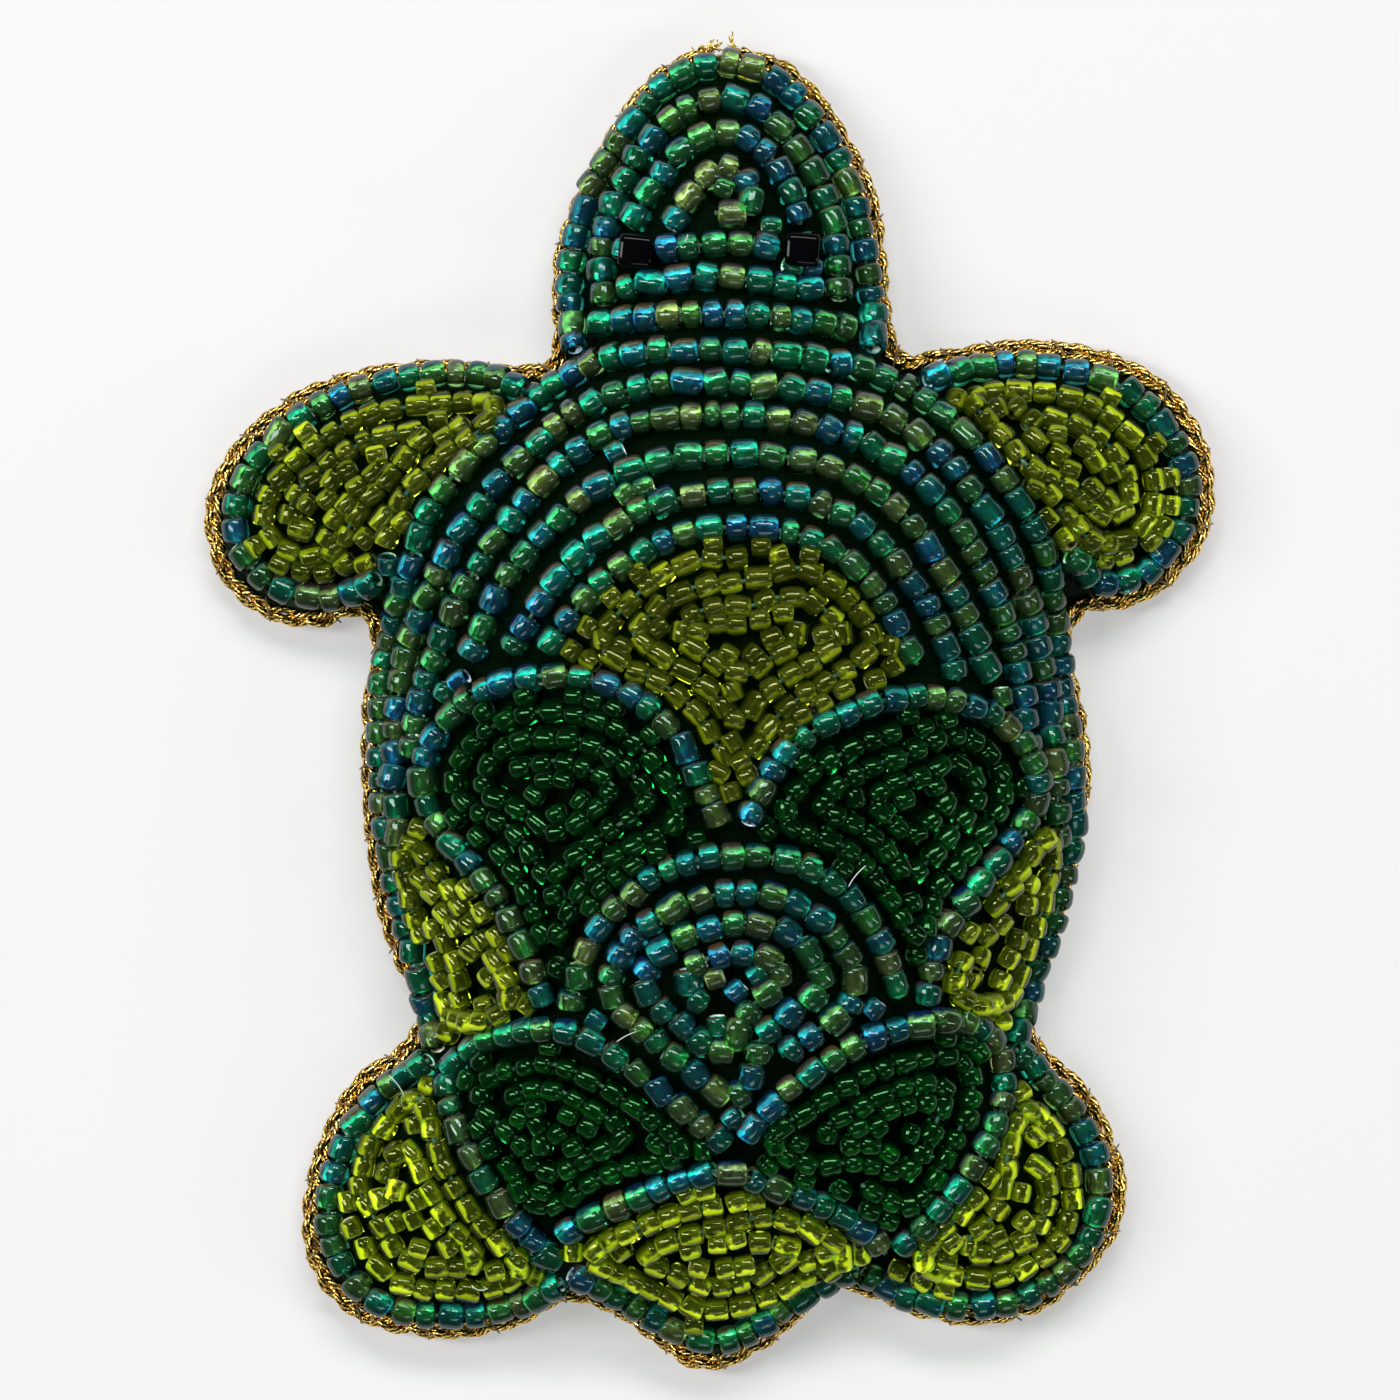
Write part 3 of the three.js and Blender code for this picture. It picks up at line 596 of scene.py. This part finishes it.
def ring_faces(rings, around):
    """Quads of a closed profile of so many rings, each with so many corners: a torus-like body."""
    i, j = np.meshgrid(np.arange(rings), np.arange(around), indexing="ij")
    a = i * around + j
    b = i * around + (j + 1) % around
    c = (i + 1) % rings * around + (j + 1) % around
    d = (i + 1) % rings * around + j
    return np.stack([a, b, c, d], axis=-1).reshape(-1, 4)


STEEPEST_BEAD = 0.6  # rise over run of a bead's axis


def frame_along(direction):
    """Three axes, the first along the direction."""
    forward = np.array(direction)
    steepest = STEEPEST_BEAD * max(math.hypot(forward[0], forward[1]), 1e-6)
    forward[2] = min(max(forward[2], -steepest), steepest)
    forward /= np.linalg.norm(forward)
    side = np.cross(forward, (0, 0, 1))
    side /= np.linalg.norm(side)
    return forward, side, np.cross(side, forward)


class Beading:
    """How one kind of bead is made. The lengths are shortest, usual and longest, the gaps and the squareness
    of the ends lowest and highest, and all sizes are in millimetres."""

    def __init__(self, material, wall, slot, diameter, lengths, gaps, squareness, bore):
        self.material = material
        self.wall = wall
        self.slot = slot
        self.diameter = diameter
        self.lengths = lengths
        self.gaps = gaps
        self.squareness = squareness
        self.bore = bore


DIAMETER_SPREAD = 0.1  # millimetres
PLACE_SPREAD = 0.05  # millimetres
TILT = 0.12
SLANT = 0.07  # of the ends
OVALNESS = 0.05


class Bead:
    """One bead: its place and direction, and the chances of its shape."""

    def __init__(self, kind):
        short, usual, long = kind.lengths
        low, high = kind.squareness
        self.length = dice.triangular(short, long, usual) * MM
        self.radius = dice.gauss(kind.diameter, DIAMETER_SPREAD) * MM / 2
        self.squareness = low + (high - low) * dice.random() ** 0.7
        self.centre = None
        self.direction = None

    def put(self, centre, direction):
        shift = [dice.gauss(0, PLACE_SPREAD) for _ in range(3)]
        self.centre = centre + np.array(shift) * MM
        self.direction = direction

    def corners(self, bore):
        profile = bead_profile(self.length, self.radius, bore, self.squareness)
        forward, side, up = frame_along(self.direction)
        tilt = dice.gauss(0, TILT)
        forward, side = forward + tilt * side, side - tilt * forward
        roll = dice.uniform(0, math.tau)
        angles = np.arange(SEGMENTS) * math.tau / SEGMENTS
        oval = 1 + dice.uniform(0, OVALNESS) * np.cos(2 * angles + roll)
        out = profile[:, 1][:, None] * oval[None, :]
        ring = np.cos(angles)[:, None] * side + np.sin(angles)[:, None] * up
        slant = 1 + dice.gauss(0, SLANT) * np.cos(angles + roll)
        along = profile[:, 0][:, None] * slant[None, :]
        points = self.centre + along[..., None] * forward + out[..., None] * ring[None]
        return points.reshape(-1, 3)


def bead_piece(name, kind, beads, node_names):
    """One piece of many beads. Each corner carries its bead's numbers and whether it is at a mouth."""
    faces_of_one = ring_faces(ARC_POINTS + len(WALL_SHARES), SEGMENTS)
    mouths = np.repeat([0.0] * ARC_POINTS + [1.0, 0.0, 0.0, 1.0], SEGMENTS)
    vertices, faces, tones = [], [], []
    for k, bead in enumerate(beads):
        points = bead.corners(kind.bore * MM / 2)
        vertices.append(points)
        faces.append(faces_of_one + k * len(points))
        chances = np.tile([dice.random(), dice.random(), dice.random()], (len(points), 1))
        tones.append(np.column_stack([chances, mouths]))
    obj = new_piece(name, np.vstack(vertices), np.vstack(faces), kind.material, node_names, kind.slot)
    colour = obj.data.attributes.new("bead", "FLOAT_COLOR", "POINT")
    colour.data.foreach_set("color", np.vstack(tones).ravel())
    obj.data.materials.append(kind.wall)
    of_one = np.repeat([0] * (ARC_POINTS - 1) + [1] * (len(WALL_SHARES) + 1), SEGMENTS)
    obj.data.polygons.foreach_set("material_index", np.tile(of_one, len(beads)))


CLOSENESS = 0.6  # share of two beads' radii that stays between strings pressed together
LOWER = 0.3 * MM  # a string this much lower can carry another
SETTLING_ROUNDS = 3
SETTLING_STEP = 0.1 * MM
CLOTH_GAP = 0.05 * MM
HIGHEST = 1.1 * MM  # the most air that a string crossing others leaves over the cloth
EVENED_OVER = 9  # points of a route, because a string can't step up or down


def tree_of(points):
    """The points as a tree that finds the nearest in plan."""
    tree = KDTree(len(points))
    for k, point in enumerate(points):
        tree.insert((point[0], point[1], 0), k)
    tree.balance()
    return tree


def let_down(point, radius, marks, near, ground):
    """The height to which a point of a string sinks."""
    x, y, z = point
    support = -math.inf
    for place, k, distance in near.find_range((x, y, 0), CLOSENESS * lustre.diameter * MM):
        other, other_kind = marks[k]
        clear = CLOSENESS * (radius + other_kind.diameter * MM / 2)
        if other[2] < z - LOWER and distance < clear:
            support = max(support, other[2] + math.sqrt(clear**2 - distance**2))
    gap = ground.find_nearest((x, y, z))[3]
    while z - SETTLING_STEP > support or gap > radius + HIGHEST:
        closer = ground.find_nearest((x, y, z - SETTLING_STEP))[3]
        if closer < radius + CLOTH_GAP or closer > gap:
            break
        z -= SETTLING_STEP
        gap = closer
    return z


def settle(rows, cloth):
    """Lets each string down until it meets the cloth or a string below, as stitches pull it."""
    ground = BVHTree.FromObject(cloth, bpy.context.evaluated_depsgraph_get())
    for _ in range(SETTLING_ROUNDS):
        marks = [(point, kind) for name, route, kind in rows for point in route.points]
        near = tree_of([point for point, kind in marks])
        for name, route, kind in rows:
            radius = kind.diameter * MM / 2
            heights = [let_down(point, radius, marks, near, ground) for point in route.points]
            padded = np.pad(heights, EVENED_OVER // 2, mode="edge")
            evened = np.convolve(padded, np.ones(EVENED_OVER) / EVENED_OVER, mode="valid")
            route.lower(np.minimum(route.points[:, 2], evened))


def string_row(name, route, kind):
    """Beads threaded end to end along the string's route."""
    beads, gaps, total = [], [], 0.0
    while total < route.length:
        beads.append(Bead(kind))
        gaps.append(dice.uniform(*kind.gaps) * MM)
        total += beads[-1].length + gaps[-1]
    fit = route.length / total
    place = 0.0
    for bead, gap in zip(beads, gaps):
        bead.length *= fit
        start, end = route.at(place), route.at(place + bead.length)
        bead.put((start + end) / 2, end - start)
        place += bead.length + gap * fit
    bead_piece(f"{name}_beads", kind, beads, [name])


# ---------------------------------------------------------------- single beads in the gaps

GRID = 0.3 * MM  # of the search for gaps
GAP_BEAD = 0.9 * MM  # radius of a bead that closes a gap
GAP_BEAD_RAISE = 0.35 * MM  # thread and nap under it
SQUEEZE = {  # share of its radius that must be free, beside each kind of string
    "lustre_beads": 0.58,
    "dark_green_beads": 0.4,
    "chartreuse_beads": 0.24,
}
APART = 1.5 * MM  # between two such beads
STEEPEST_CLOTH = 0.28  # upward part of the cloth's normal, below which it gets no such bead
STEEPEST_RAISE = 0.55  # the same, below which such a bead is raised no further
FILL_REACH = 2.7 * MM  # a gap this close to a filling string is closed with the filling's beads
OUTSIDE = "braid"
BRAID_CLEARANCE = 1.9 * MM


def room_beside(kind, distance):
    """What is left of the distance to a string or the braid, once a single bead lies beside it."""
    if kind == OUTSIDE:
        return distance - BRAID_CLEARANCE
    return distance - kind.diameter * MM / 2 - SQUEEZE[kind.slot] * GAP_BEAD


def fill_gaps(rows, braid, cloth):
    """Single beads wherever the strings leave room for one, in line with the nearest string."""
    ground = BVHTree.FromObject(cloth, bpy.context.evaluated_depsgraph_get())
    lines = [(route, kind) for name, route, kind in rows] + [(braid, OUTSIDE)]
    marks = [(p, q - p, kind) for route, kind in lines for p, q in zip(route.points, route.points[1:])]
    near = tree_of([point for point, direction, kind in marks])
    low, high = (np.array(v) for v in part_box("front_panel"))
    found = []
    for x in np.arange(low[0], high[0], GRID):
        for y in np.arange(low[1], high[1], GRID):
            place, k, distance = near.find((x, y, 0))
            room = room_beside(marks[k][2], distance)
            if room < 0:
                continue
            hit, normal, index, depth = ground.ray_cast((x, y, 1), (0, 0, -1))
            if hit and normal.z > STEEPEST_CLOTH:
                raised = (GAP_BEAD + GAP_BEAD_RAISE) / max(normal.z, STEEPEST_RAISE)
                found.append((room, x, y, hit.z + raised, k))
    beads = {}
    taken = []
    for room, x, y, z, k in sorted(found):
        if any((x - a) ** 2 + (y - b) ** 2 < APART**2 for a, b in taken):
            continue
        taken.append((x, y))
        around = sorted(near.find_range((x, y, 0), FILL_REACH), key=lambda mark: mark[2])
        beside = [marks[k][2]] + [marks[j][2] for place, j, distance in around]
        kinds = [kind for kind in beside if kind not in (OUTSIDE, lustre)]
        kind = kinds[0] if kinds else lustre
        bead = Bead(kind)
        bead.length = min(bead.length, APART)
        bead.radius = GAP_BEAD * dice.uniform(0.92, 1.05)
        bead.put(np.array([x, y, z]), marks[k][1])
        beads.setdefault(kind, []).append(bead)
    for kind, some in beads.items():
        bead_piece(f"single_{kind.slot}", kind, some, [])


# ---------------------------------------------------------------- threads and braid


THREAD_SIDES = 6


def sweep(points, radii, around=THREAD_SIDES):
    """(vertices, quads) of a tube with end caps, its radius given per point or per point and corner."""
    points = np.asarray(points)
    directions = np.gradient(points, axis=0)
    directions /= np.linalg.norm(directions, axis=1)[:, None]
    side = np.cross(directions, (0, 0, 1))
    side /= np.maximum(np.linalg.norm(side, axis=1), 1e-9)[:, None]
    up = np.cross(side, directions)
    angles = np.arange(around) * math.tau / around
    radii = np.broadcast_to(np.asarray(radii, float).reshape(len(points), -1), (len(points), around))
    ring = np.cos(angles)[None, :, None] * side[:, None] + np.sin(angles)[None, :, None] * up[:, None]
    vertices = (points[:, None] + radii[..., None] * ring).reshape(-1, 3)
    count = len(points)
    faces = ring_faces(count, around)[: (count - 1) * around].tolist()
    faces.append(list(range(around))[::-1])
    faces.append(list(range((count - 1) * around, count * around)))
    return vertices, faces


def joined(parts):
    """(vertices, faces) of all the parts as one mesh."""
    vertices, faces, used = [], [], 0
    for points, quads in parts:
        vertices.append(points)
        faces.extend([[corner + used for corner in face] for face in quads])
        used += len(points)
    return np.vstack(vertices), faces


STRANDS = 3
STRAND_STEP = 0.16 * MM
STRAND_SIDES = 20
PLAIT_LENGTH = 6.4 * MM  # of one strand's full crossing and return
PLAIT_HALF_WIDTH = 0.46 * MM
PLAIT_LIFT = 0.22 * MM
WANDER_STEP = 6 * MM  # the plait runs ahead or behind by a new amount this often
WANDER = [[dice.gauss(0, 0.35) for _ in range(90)] for _ in range(STRANDS)]
SWELL_LENGTH = 2.3 * MM
STRAND_RADIUS = 0.36 * MM
PLIES = 5
PLY_TWIST = 3.2 * MM  # length of one turn of the plies round their strand
FOIL_STEP = 0.55 * MM  # length of one flat of foil along a ply


def braid_strand(route, sides, k):
    """One strand of the flat plait: it weaves from side to side and over and under the other two."""
    stations = np.arange(0, route.length, STRAND_STEP)
    centre = np.column_stack([np.interp(stations, route.along, route.points[:, a]) for a in range(3)])
    side = np.column_stack([np.interp(stations, route.along, sides[:, a]) for a in range(3)])
    wander = np.interp(stations, np.arange(len(WANDER[k])) * WANDER_STEP, WANDER[k])
    phase = math.tau * stations / PLAIT_LENGTH + math.tau * k / STRANDS + wander
    centre = centre + side * (PLAIT_HALF_WIDTH * np.sin(phase))[:, None]
    centre[:, 2] += PLAIT_LIFT * np.sin(2 * phase)
    angles = np.arange(STRAND_SIDES) * math.tau / STRAND_SIDES
    turn = PLIES * (angles[None, :] - math.tau * stations[:, None] / PLY_TWIST) / 2
    lobes = np.abs(np.cos(turn))
    flats = np.abs(np.cos(math.pi * stations[:, None] / FOIL_STEP + np.floor(turn / math.pi) * 1.3))
    swell = 1 + 0.08 * np.sin(math.tau * stations / SWELL_LENGTH + k)
    relief = lobes * (0.75 + 0.25 * flats)
    vertices, faces = sweep(centre, STRAND_RADIUS * swell[:, None] * (0.66 + 0.34 * relief), STRAND_SIDES)
    return vertices, faces, relief.ravel()


FILAMENTS = 22
FILAMENT_POINTS = 6


def tuft(place, direction):
    """The frayed end of the braid: loose foil filaments that spread from one place."""
    parts = []
    for _ in range(FILAMENTS):
        spread = np.array([dice.gauss(0, 0.55), dice.gauss(0, 0.55), dice.gauss(0.1, 0.35)])
        way = direction + spread
        way /= np.linalg.norm(way)
        length = dice.uniform(0.6, 1.3) * MM
        bend = np.array([dice.gauss(0, 0.3), dice.gauss(0, 0.3), -0.2]) * length
        start = place + np.array([dice.gauss(0, 0.25), dice.gauss(0, 0.25), dice.gauss(0, 0.2)]) * MM
        points = [start + way * length * t + bend * t * t for t in np.linspace(0, 1, FILAMENT_POINTS)]
        parts.append(sweep(points, np.linspace(0.13, 0.07, FILAMENT_POINTS) * MM))
    return parts


def make_braid():
    """The plait and its two frayed ends. Returns its route and the directions across it."""
    route = Route(centreline("gold_braid"))
    directions = np.gradient(route.points, axis=0)
    directions /= np.linalg.norm(directions, axis=1)[:, None]
    sides = np.cross(directions, (0, 0, 1))
    strands = [braid_strand(route, sides, k) for k in range(STRANDS)]
    parts = [(vertices, faces) for vertices, faces, relief in strands]
    relief = np.concatenate([relief for vertices, faces, relief in strands])
    parts += tuft(route.points[0], -directions[0])
    parts += tuft(route.points[-1], directions[-1])
    vertices, faces = joined(parts)
    braid = new_piece("braid_strands", vertices, faces, gold_thread(), ["gold_braid"], "braid")
    tufts = np.full(len(vertices) - len(relief), 0.8)
    carried = braid.data.attributes.new("relief", "FLOAT", "POINT")
    carried.data.foreach_set("value", np.concatenate([relief, tufts]))
    return route, sides


FIRST_STITCH = 3 * MM  # from each end of the braid
STITCH_POINTS = 9
STITCH_THREAD = 0.075 * MM  # radius
STITCH_REACH = 0.8 * MM  # to each side of the braid's middle
STITCH_RISE = 0.86 * MM


def make_braid_stitches(route, sides):
    """The sewing thread that holds the braid down, over it and into the cloth at each stitch."""
    parts = []
    place = FIRST_STITCH
    while place < route.length - FIRST_STITCH:
        centre = route.at(place)
        k = int(np.searchsorted(route.along, place))
        side, along = sides[k], np.cross((0, 0, 1), sides[k])
        slant = dice.uniform(0.3, 0.9) * MM
        points = []
        for t in np.linspace(-1, 1, STITCH_POINTS):
            out = STITCH_REACH * t
            rise = STITCH_RISE * math.sqrt(max(1 - (t * 0.93) ** 2, 0))
            points.append(centre + side * out + along * slant * t + np.array([0, 0, rise - 0.06 * MM]))
        parts.append(sweep(points, STITCH_THREAD * np.ones(STITCH_POINTS)))
        place += dice.uniform(3.6, 6.4) * MM
    brown = thread_material("stitch_thread", (0.16, 0.09, 0.02))
    new_piece("braid_stitches", *joined(parts), brown, [], "cloth")


BEAD_THREAD = 0.17 * MM  # radius


def make_bead_thread(routes):
    """The thread through every string of beads, seen in the gaps between them and through clear glass."""
    parts = [sweep(r.points[::2], BEAD_THREAD * np.ones(len(r.points[::2]))) for r in routes]
    green = thread_material("bead_thread", (0.03, 0.16, 0.08))
    new_piece("bead_thread", *joined(parts), green, [], "cloth")


STRAY_ENDS = 7
STRAY_POINTS = 12
STRAY_SIDES = 5
STRAY_THREAD = 0.04 * MM  # radius


def make_stray_ends(routes):
    """Short ends of clear thread that stand up between the beads."""
    parts = []
    for _ in range(STRAY_ENDS):
        route = dice.choice(routes)
        start = route.at(dice.uniform(0.1, 0.9) * route.length) + np.array([0, 0, 0.9 * MM])
        turn = dice.uniform(0, math.tau)
        curl = dice.uniform(-2.5, 2.5)
        length = dice.uniform(1.2, 3.0) * MM
        points, place = [], start
        for t in np.linspace(0, 1, STRAY_POINTS):
            points.append(place)
            heading = turn + curl * t
            step = np.array([math.cos(heading), math.sin(heading), 0.45 - 0.6 * t]) * length / STRAY_POINTS
            place = place + step
        parts.append(sweep(points, STRAY_THREAD * np.ones(STRAY_POINTS), STRAY_SIDES))
    clear = thread_material("clear_thread", (0.62, 0.8, 0.72))
    new_piece("stray_thread_ends", *joined(parts), clear, [], "cloth")


# ---------------------------------------------------------------- cloth, felt and filling


GRAIN_WAVES = 9


def remeshed(node, name, voxel, smoothing, material, grain, raise_by=0.0, grain_size=1.0):
    """The CAD solid rebuilt as an even fine mesh, smoothed, swollen a little and given a grain."""
    source = nodes[node]
    obj = bpy.data.objects.new(name, source.data.copy())
    scene.collection.objects.link(obj)
    obj.data.materials.clear()
    remesh = obj.modifiers.new("remesh", "REMESH")
    remesh.mode = "VOXEL"
    remesh.voxel_size = voxel
    soften = obj.modifiers.new("soften", "SMOOTH")
    soften.factor = 0.5
    soften.iterations = smoothing
    bpy.context.view_layer.update()
    made = bpy.data.meshes.new_from_object(obj.evaluated_get(bpy.context.evaluated_depsgraph_get()))
    obj.modifiers.clear()
    obj.data = made
    obj.data.name = name
    obj.data.materials.clear()
    obj.data.materials.append(material)
    count = len(made.vertices)
    places, normals = np.zeros(count * 3), np.zeros(count * 3)
    made.vertices.foreach_get("co", places)
    made.vertex_normals.foreach_get("vector", normals)
    places, normals = places.reshape(-1, 3), normals.reshape(-1, 3)
    waves = np.zeros(count)
    for _ in range(GRAIN_WAVES):
        way = np.array([dice.gauss(0, 1), dice.gauss(0, 1), dice.gauss(0, 1)])
        way *= math.tau / (grain_size * MM * np.linalg.norm(way) * dice.uniform(0.7, 1.6))
        waves += np.sin(places @ way + dice.uniform(0, math.tau))
    places = places + normals * (raise_by + grain * waves / GRAIN_WAVES)[:, None]
    made.vertices.foreach_set("co", places.ravel())
    made.polygons.foreach_set("use_smooth", [True] * len(made.polygons))
    made.update()
    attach(obj, "root")
    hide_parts(node)
    return obj


def make_cloth_and_felt():
    """The embroidered cloth, and the felt that lies on the table. Returns the cloth."""
    cloth = remeshed(
        "front_panel", "front_cloth", 0.5 * MM, 12, woven_cloth(),
        grain=0.12 * MM, raise_by=0.3 * MM, grain_size=2.5,
    )
    felt = remeshed(
        "back_panel", "back_felt", 0.4 * MM, 3, felt_material(), grain=0.05 * MM, grain_size=1.2
    )
    lift = -min(vertex.co.z for vertex in felt.data.vertices)
    for vertex in felt.data.vertices:
        vertex.co.z += lift
    return cloth


def make_filling():
    """The wads inside, as firm padding."""
    material = wadding_material()
    for part in frame["record"]["subparts"]:
        if part["material_slot"] == "wadding":
            name = part["node"]
            wad = remeshed(name, f"{name}_fibre", 0.8 * MM, 4, material, grain=0.1 * MM)


# ---------------------------------------------------------------- eyes


EYE_BORE = 0.45 * MM  # radius
EYE_SQUARENESS = 7
EYE_SIDES = 32
EYE_FLATTENING = 0.92  # its height over its width


def make_eye(node):
    """A square-cut bead on its side, its hole from left to right, turned a little at random."""
    low, high = (np.array(v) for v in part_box(node))
    length = high[0] - low[0]
    profile = bead_profile(length, length / 2, EYE_BORE, EYE_SQUARENESS)
    angles = np.arange(EYE_SIDES) * math.tau / EYE_SIDES + math.pi / 4
    power = EYE_SQUARENESS
    square = 1 / (np.abs(np.cos(angles)) ** power + np.abs(np.sin(angles)) ** power) ** (1 / power)
    turned = dice.uniform(-0.12, 0.12)
    forward = np.array([math.cos(turned), math.sin(turned), 0])
    side = np.array([-math.sin(turned), math.cos(turned), 0])
    up = np.array([0, 0, EYE_FLATTENING])
    ring = np.cos(angles)[:, None] * side + np.sin(angles)[:, None] * up
    out = profile[:, 1][:, None] * square[None, :]
    points = (low + high) / 2 + profile[:, 0][:, None, None] * forward + out[..., None] * ring[None]
    faces = ring_faces(len(profile), EYE_SIDES)
    new_piece(f"{node}_bead", points.reshape(-1, 3), faces, black_glass(), [node], "black_beads")


# ---------------------------------------------------------------- build

make_camera()
make_lights()

lustre = Beading(
    material=lustre_glass(), wall=lustre_lining(), slot="lustre_beads",
    diameter=2.3, lengths=(1.3, 1.75, 2.5), gaps=(0.06, 0.3), squareness=(2.1, 3.9), bore=1.12,
)
dark = Beading(
    material=clear_glass(
        "dark_green_glass", pale=(0.02, 0.36, 0.07), deep_and_side_shade=(0.004, 0.2, 0.035),
        gleam=(0.35, 1.0, 0.4), roughness=0.08, gloss=0.25,
    ),
    wall=bore_wall("dark_green_bore", painted_shade_colour=(0.0005, 0.012, 0.002), painted_highlight_colour=(0.02, 0.3, 0.07)),
    slot="dark_green_beads",
    diameter=1.95, lengths=(1.3, 1.65, 2.1), gaps=(0.06, 0.3), squareness=(2.2, 3.6), bore=0.9,
)
lime = Beading(
    material=clear_glass(
        "chartreuse_glass", pale=(0.86, 0.94, 0.12), deep_and_side_shade=(0.5, 0.65, 0.02),
        gleam=(1.0, 1.0, 0.5), roughness=0.04, gloss=0.6,
    ),
    wall=bore_wall("chartreuse_bore", painted_shade_colour=(0.008, 0.016, 0.0002), painted_highlight_colour=(1.0, 1.0, 0.42)),
    slot="chartreuse_beads",
    diameter=1.95, lengths=(1.3, 1.7, 2.2), gaps=(0.06, 0.32), squareness=(2.2, 3.8), bore=0.98,
)
kinds = {kind.slot: kind for kind in (lustre, dark, lime)}
rows = []
for part in frame["record"]["subparts"]:
    if part["material_slot"] in kinds:
        rows.append((part["node"], Route(centreline(part["node"])), kinds[part["material_slot"]]))
front_cloth = make_cloth_and_felt()
settle(rows, front_cloth)
for name, route, kind in rows:
    string_row(name, route, kind)
routes = [route for name, route, kind in rows]
make_bead_thread(routes)
make_stray_ends(routes)
make_eye("eye_left")
make_eye("eye_right")
braid_route, braid_sides = make_braid()
make_braid_stitches(braid_route, braid_sides)
fill_gaps(rows, braid_route, front_cloth)
make_filling()

bpy.ops.mesh.primitive_plane_add(size=4)
floor = bpy.context.object
floor.name = "floor"
white = Material("floor_white")
white.set(Base_Color=(0.58, 0.58, 0.58, 1), Roughness=0.9)
white.set(Emission_Color=(1, 1, 1, 1), Emission_Strength=0.345)
floor.data.materials.append(white.material)
